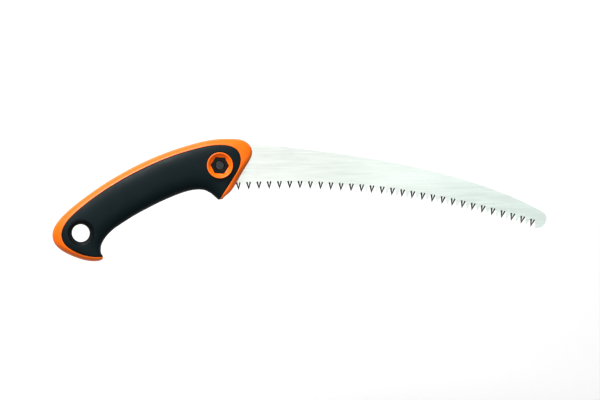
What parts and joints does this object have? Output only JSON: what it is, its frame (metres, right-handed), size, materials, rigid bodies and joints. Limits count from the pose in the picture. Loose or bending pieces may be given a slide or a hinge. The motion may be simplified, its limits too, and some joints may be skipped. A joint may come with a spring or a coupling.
{
  "type": "pruning saw",
  "caption": "Curved pruning saw with a toothed blade clamped by one bolt in a curved two-tone handle with a soft grip and a hang hole.",
  "frame": {"origin": "centre of the hang hole, on the middle plane of the blade", "axes": "+X along the saw towards the blade tip, +Y towards the back of the saw, +Z out of the nut side"},
  "size_m": [0.5319, 0.132, 0.0271],
  "materials": {
    "blade_steel": "satin ground steel, with darker ground tooth bevels",
    "core_orange": "moulded plastic, half gloss",
    "grip_black": "soft moulded elastomer, fine satin grain",
    "eyelet_black": "moulded plastic, satin",
    "nut_black": "black oxide",
    "bolt_steel": "dark phosphated steel",
    "zinc_steel": "zinc plated",
    "spring_steel": "oiled spring steel",
    "screw_black": "black oxide"
  },
  "bodies": {
    "root": {"core_near": "core_orange", "core_far": "core_orange", "grip_near": "grip_black", "grip_far": "grip_black", "hang_eyelet": "eyelet_black", "clamp_nut": "nut_black", "bush_near": "zinc_steel", "bush_far": "zinc_steel", "guide_pin": "spring_steel", "locating_pin_1": "zinc_steel", "locating_pin_2": "zinc_steel", "handle_screw_1": "screw_black", "handle_screw_2": "screw_black", "handle_screw_3": "screw_black"},
    "blade": {"blade": "blade_steel"},
    "washers": {"bolt_washer": "zinc_steel", "lock_washer": "spring_steel"},
    "bolt": {"clamp_bolt": "bolt_steel"}
  },
  "joints": [
    {"name": "blade_draw", "type": "slide", "parent": "root", "child": "blade", "axis": [1, 0, 0], "range_m": [0, 0.07]},
    {"name": "bolt_travel", "type": "slide", "parent": "root", "child": "washers", "axis": [0, 0, -1], "range_m": [0, 0.007]},
    {"name": "bolt_turn", "type": "hinge", "parent": "washers", "child": "bolt", "pos_m": [0.1485, 0.0724, 0], "axis": [0, 0, -1], "range_deg": [0, 1440]}
  ],
  "couplings": [
    {"joint": "bolt_travel", "follows": "bolt_turn", "m_per_rad": 0.00023873}
  ]
}
